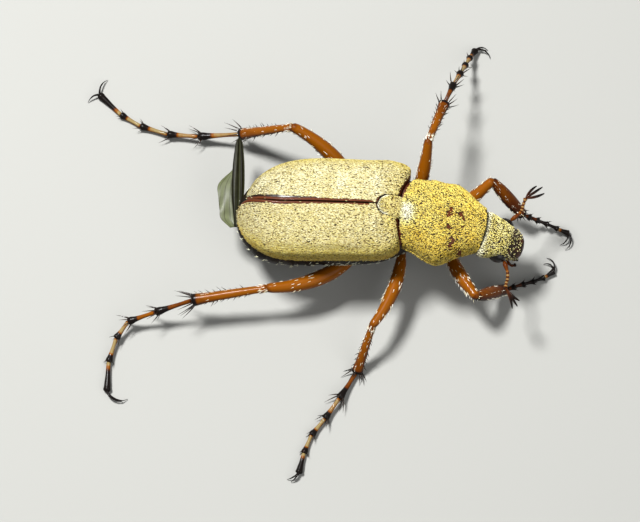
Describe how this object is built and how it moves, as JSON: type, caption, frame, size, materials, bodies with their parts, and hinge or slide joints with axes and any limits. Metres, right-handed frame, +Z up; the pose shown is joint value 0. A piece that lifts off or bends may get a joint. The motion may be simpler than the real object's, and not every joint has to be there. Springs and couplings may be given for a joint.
{
  "type": "rose chafer beetle model",
  "caption": "Still, life-size beetle with domed wing cases, a six-sided thorax, fan-tipped feelers, a folded hind wing and long spined legs spread on the floor.",
  "frame": {"origin": "on the floor, below the middle of the spread of the six legs", "axes": "+X toward the head, +Y toward the beetle's left side, +Z up"},
  "size_m": [0.02, 0.0184, 0.0045],
  "materials": {
    "scaled_shell": "dense flat pale yellow scale-hairs",
    "scaled_thorax": "dense flat tan-yellow scale-hairs, rubbed red-brown in places",
    "scaled_head": "yellow scale-hairs behind a dark punctured face",
    "dark_body": "dark brown-black, satin, thinly scaled below",
    "leg": "glossy orange-brown",
    "foot": "tan joints with swollen black ends",
    "black": "glossy black",
    "feeler": "orange-brown, satin",
    "wing": "dark olive folded edge with a clear grey-green membrane"
  },
  "bodies": {
    "root": {"elytron_left": "scaled_shell", "elytron_right": "scaled_shell", "scutellum": "scaled_shell", "pronotum": "scaled_thorax", "head": "scaled_head", "metathorax": "dark_body", "abdomen": "dark_body", "pygidium": "dark_body", "mouthparts": "feeler", "hindwing": "wing", "eye_left": "black", "eye_right": "black", "antenna_left": "feeler", "antenna_right": "feeler", "antenna_club_left": "black", "antenna_club_right": "black", "front_left_coxa": "leg", "front_left_femur": "leg", "front_left_tibia": "leg", "front_left_tarsus": "foot", "front_left_claws": "black", "front_right_coxa": "leg", "front_right_femur": "leg", "front_right_tibia": "leg", "front_right_tarsus": "foot", "front_right_claws": "black", "middle_left_coxa": "leg", "middle_left_femur": "leg", "middle_left_tibia": "leg", "middle_left_tarsus": "foot", "middle_left_claws": "black", "middle_right_coxa": "leg", "middle_right_femur": "leg", "middle_right_tibia": "leg", "middle_right_tarsus": "foot", "middle_right_claws": "black", "hind_left_coxa": "leg", "hind_left_femur": "leg", "hind_left_tibia": "leg", "hind_left_tarsus": "foot", "hind_left_claws": "black", "hind_right_coxa": "leg", "hind_right_femur": "leg", "hind_right_tibia": "leg", "hind_right_tarsus": "foot", "hind_right_claws": "black"}
  },
  "joints": []
}
